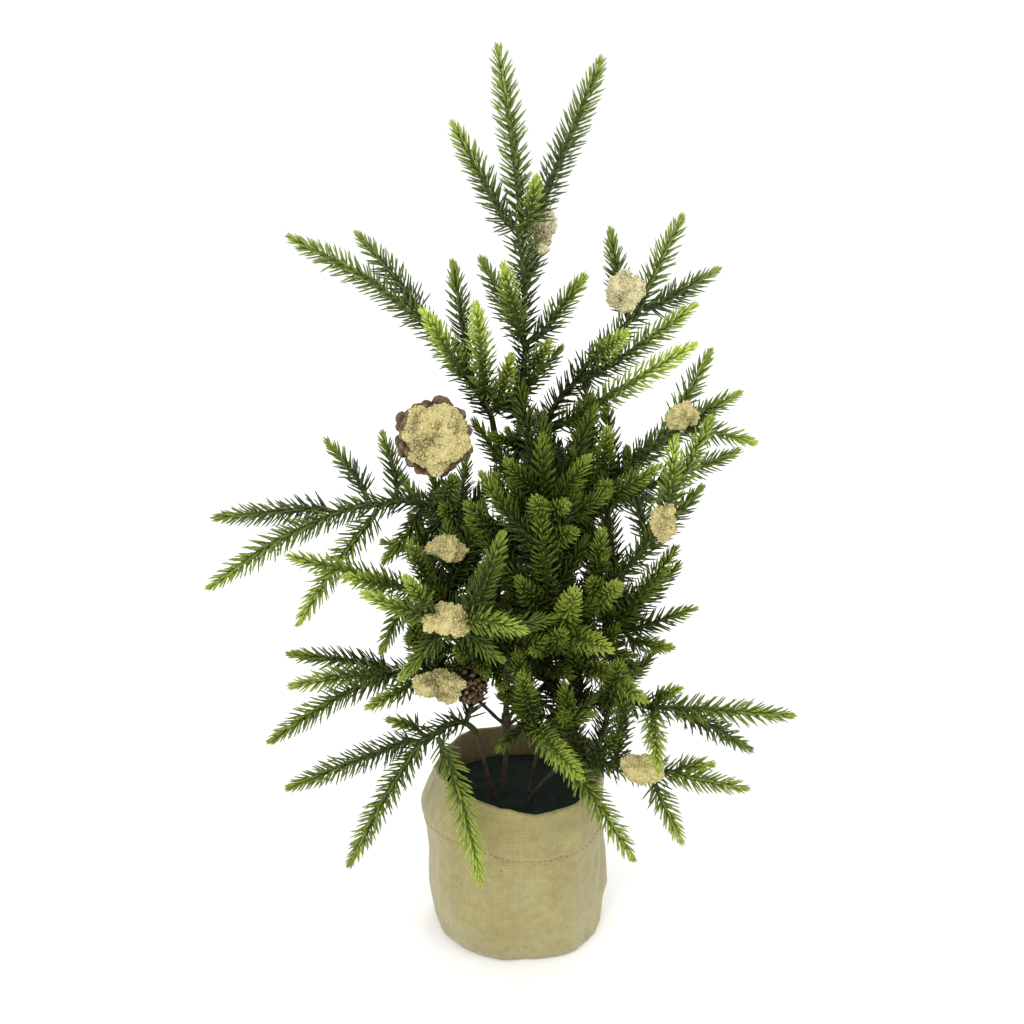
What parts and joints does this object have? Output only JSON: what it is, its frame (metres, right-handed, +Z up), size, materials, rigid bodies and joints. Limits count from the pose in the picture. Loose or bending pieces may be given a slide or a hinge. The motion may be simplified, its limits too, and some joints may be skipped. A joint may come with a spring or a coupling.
{
  "type": "artificial tabletop tree",
  "caption": "Small artificial fir with bendable wired branches, pine cones and clumps of artificial snow, standing in a weighted pot inside a cuffed linen bag.",
  "frame": {"origin": "middle of the bag's flat bottom, on the table", "axes": "+Z up, -Y towards the front of the tree as it is pictured, +X to its right"},
  "size_m": [0.3734, 0.2207, 0.5971],
  "materials": {
    "linen": "unbleached plain-weave linen, small dark slubs, soft creases",
    "thread": "tan sewing thread",
    "pot_plastic": "plain black moulded plastic",
    "plaster": "cast plaster or cement",
    "foam": "dark green open foam",
    "brown_tape": "waxed brown tape",
    "brown_wire": "brown plastic sleeve over wire",
    "needle_green": "moulded needles, dark at the stem and lime at the tips",
    "cone_brown": "dry woody scales",
    "snow": "cream granules set in glue"
  },
  "bodies": {
    "base": {"fabric_bag": "linen", "base_panel": "linen", "hem_thread": "thread", "liner_pot": "pot_plastic", "weight_block": "plaster", "foam_disc": "foam", "trunk_rod": "brown_wire", "tape_wrap_bottom": "brown_tape", "tape_wrap_lower": "brown_tape", "tape_wrap_middle": "brown_tape", "tape_wrap_top": "brown_tape"},
    "branch_upper_left": {"wire_upper_left": "brown_wire", "spray_upper_left": "needle_green"},
    "branch_upper_right": {"wire_upper_right": "brown_wire", "spray_upper_right": "needle_green", "snow_upper_right": "snow"},
    "branch_right_middle": {"wire_right_middle": "brown_wire", "spray_right_middle": "needle_green", "snow_right_middle": "snow"},
    "branch_right_front": {"wire_right_front": "brown_wire", "spray_right_front": "needle_green", "snow_right_front": "snow"},
    "branch_right_low": {"wire_right_low": "brown_wire", "spray_right_low": "needle_green"},
    "branch_right_sweep": {"wire_right_sweep": "brown_wire", "spray_right_sweep": "needle_green"},
    "branch_right_bottom": {"wire_right_bottom": "brown_wire", "spray_right_bottom": "needle_green", "snow_right_bottom": "snow"},
    "branch_left_middle": {"wire_left_middle": "brown_wire", "spray_left_middle": "needle_green", "pine_cone_large": "cone_brown", "cone_pick_large": "brown_wire", "snow_cone_crust": "snow"},
    "branch_left_front": {"wire_left_front": "brown_wire", "spray_left_front": "needle_green", "snow_left_front": "snow"},
    "branch_front_left": {"wire_front_left": "brown_wire", "spray_front_left": "needle_green", "snow_front_left": "snow"},
    "branch_lower_left": {"wire_lower_left": "brown_wire", "spray_lower_left": "needle_green", "pine_cone_small": "cone_brown", "snow_lower_left": "snow"},
    "branch_left_bottom": {"wire_left_bottom": "brown_wire", "spray_left_bottom": "needle_green"},
    "branch_front_low": {"wire_front_low": "brown_wire", "spray_front_low": "needle_green"},
    "branch_front_middle": {"wire_front_middle": "brown_wire", "spray_front_middle": "needle_green"},
    "branch_front_upper": {"wire_front_upper": "brown_wire", "spray_front_upper": "needle_green"},
    "branch_back_right": {"wire_back_right": "brown_wire", "spray_back_right": "needle_green"},
    "branch_back_left": {"wire_back_left": "brown_wire", "spray_back_left": "needle_green"},
    "branch_back_low": {"wire_back_low": "brown_wire", "spray_back_low": "needle_green"},
    "leader": {"spray_leader": "needle_green", "snow_leader": "snow"}
  },
  "joints": [
    {"name": "bend_upper_left", "type": "hinge", "parent": "base", "child": "branch_upper_left", "pos_m": [-0.00581, -0.00044, 0.332], "axis": [-0.0769, 0.997, 0], "range_deg": [-20, 5]},
    {"name": "bend_upper_right", "type": "hinge", "parent": "base", "child": "branch_upper_right", "pos_m": [0.00325, 0.00135, 0.328], "axis": [0.0579, -0.9983, 0], "range_deg": [-10, 10]},
    {"name": "bend_right_middle", "type": "hinge", "parent": "base", "child": "branch_right_middle", "pos_m": [0.00097, -0.00067, 0.271], "axis": [-0.1047, -0.9945, 0], "range_deg": [-10, 5]},
    {"name": "bend_right_front", "type": "hinge", "parent": "base", "child": "branch_right_front", "pos_m": [-0.00195, -0.00247, 0.206], "axis": [-0.4979, -0.8672, 0], "range_deg": [-25, 5]},
    {"name": "bend_right_low", "type": "hinge", "parent": "base", "child": "branch_right_low", "pos_m": [-0.00229, -0.00081, 0.154], "axis": [-0.3703, -0.9289, 0], "range_deg": [-7, 12]},
    {"name": "bend_right_sweep", "type": "hinge", "parent": "base", "child": "branch_right_sweep", "pos_m": [0.009, -0.005, 0.103], "axis": [-0.4538, -0.8911, 0], "range_deg": [-7, 7]},
    {"name": "bend_right_bottom", "type": "hinge", "parent": "base", "child": "branch_right_bottom", "pos_m": [0.008, -0.016, 0.103], "axis": [-0.5538, -0.8327, 0], "range_deg": [-25, 5]},
    {"name": "bend_left_middle", "type": "hinge", "parent": "base", "child": "branch_left_middle", "pos_m": [-0.00865, 0, 0.269], "axis": [-0.1689, 0.9856, 0], "range_deg": [-22, 10]},
    {"name": "bend_left_front", "type": "hinge", "parent": "base", "child": "branch_left_front", "pos_m": [-0.01011, -0.00253, 0.208], "axis": [-0.5563, 0.831, 0], "range_deg": [-20, 15]},
    {"name": "bend_front_left", "type": "hinge", "parent": "base", "child": "branch_front_left", "pos_m": [-0.00805, -0.00439, 0.204], "axis": [-0.8973, 0.4415, 0], "range_deg": [-15, 7]},
    {"name": "bend_lower_left", "type": "hinge", "parent": "base", "child": "branch_lower_left", "pos_m": [-0.01148, -0.00167, 0.156], "axis": [-0.2858, 0.9583, 0], "range_deg": [-10, 7]},
    {"name": "bend_left_bottom", "type": "hinge", "parent": "base", "child": "branch_left_bottom", "pos_m": [-0.016, -0.011, 0.103], "axis": [-0.6163, 0.7875, 0], "range_deg": [-35, 12]},
    {"name": "bend_front_low", "type": "hinge", "parent": "base", "child": "branch_front_low", "pos_m": [-0.00517, -0.0044, 0.15], "axis": [-0.9083, -0.4183, 0], "range_deg": [-25, 20]},
    {"name": "bend_front_middle", "type": "hinge", "parent": "base", "child": "branch_front_middle", "pos_m": [-0.0032, -0.00376, 0.2], "axis": [-0.9221, -0.387, 0], "range_deg": [-35, 10]},
    {"name": "bend_front_upper", "type": "hinge", "parent": "base", "child": "branch_front_upper", "pos_m": [-0.00149, -0.00415, 0.268], "axis": [-0.9752, -0.2211, 0], "range_deg": [-15, 20]},
    {"name": "bend_back_right", "type": "hinge", "parent": "base", "child": "branch_back_right", "pos_m": [-0.00046, 0.00328, 0.266], "axis": [0.7867, -0.6173, 0], "range_deg": [-35, 35]},
    {"name": "bend_back_left", "type": "hinge", "parent": "base", "child": "branch_back_left", "pos_m": [-0.00891, 0.00384, 0.208], "axis": [0.8294, 0.5587, 0], "range_deg": [-35, 20]},
    {"name": "bend_back_low", "type": "hinge", "parent": "base", "child": "branch_back_low", "pos_m": [-0.00476, 0.00424, 0.154], "axis": [0.9716, -0.2366, 0], "range_deg": [-35, 35]},
    {"name": "bend_leader", "type": "hinge", "parent": "base", "child": "leader", "pos_m": [0.003, 0, 0.383], "axis": [0, -1, 0], "range_deg": [-12, 5]}
  ]
}
